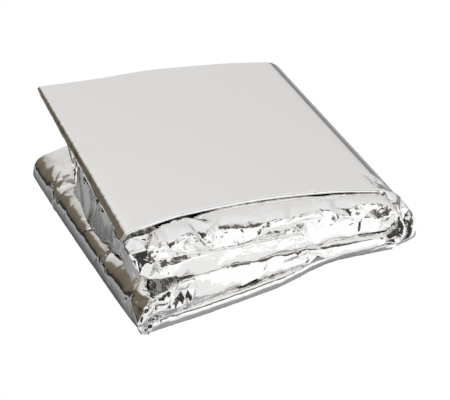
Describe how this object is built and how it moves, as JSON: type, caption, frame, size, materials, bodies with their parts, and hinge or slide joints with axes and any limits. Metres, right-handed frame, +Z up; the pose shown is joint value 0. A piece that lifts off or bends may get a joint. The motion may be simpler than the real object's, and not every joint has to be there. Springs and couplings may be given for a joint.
{
  "type": "folded emergency foil blanket",
  "caption": "Rectangular folded packet of thin mirror-bright silver film, its upper leaves sprung open from the lower ones, crumpled along the folded front.",
  "frame": {"origin": "middle of the packet's footprint, on the surface that it lies on", "axes": "+X along the folded front towards the closed hinge, +Y from the folded front to the layered back, +Z up"},
  "size_m": [0.1452, 0.1342, 0.0429],
  "materials": {
    "silver_film": "mirror-bright metallised film, smooth on the flat leaves and crumpled at the folds"
  },
  "bodies": {
    "root": {"foil_blanket": "silver_film"}
  },
  "joints": []
}
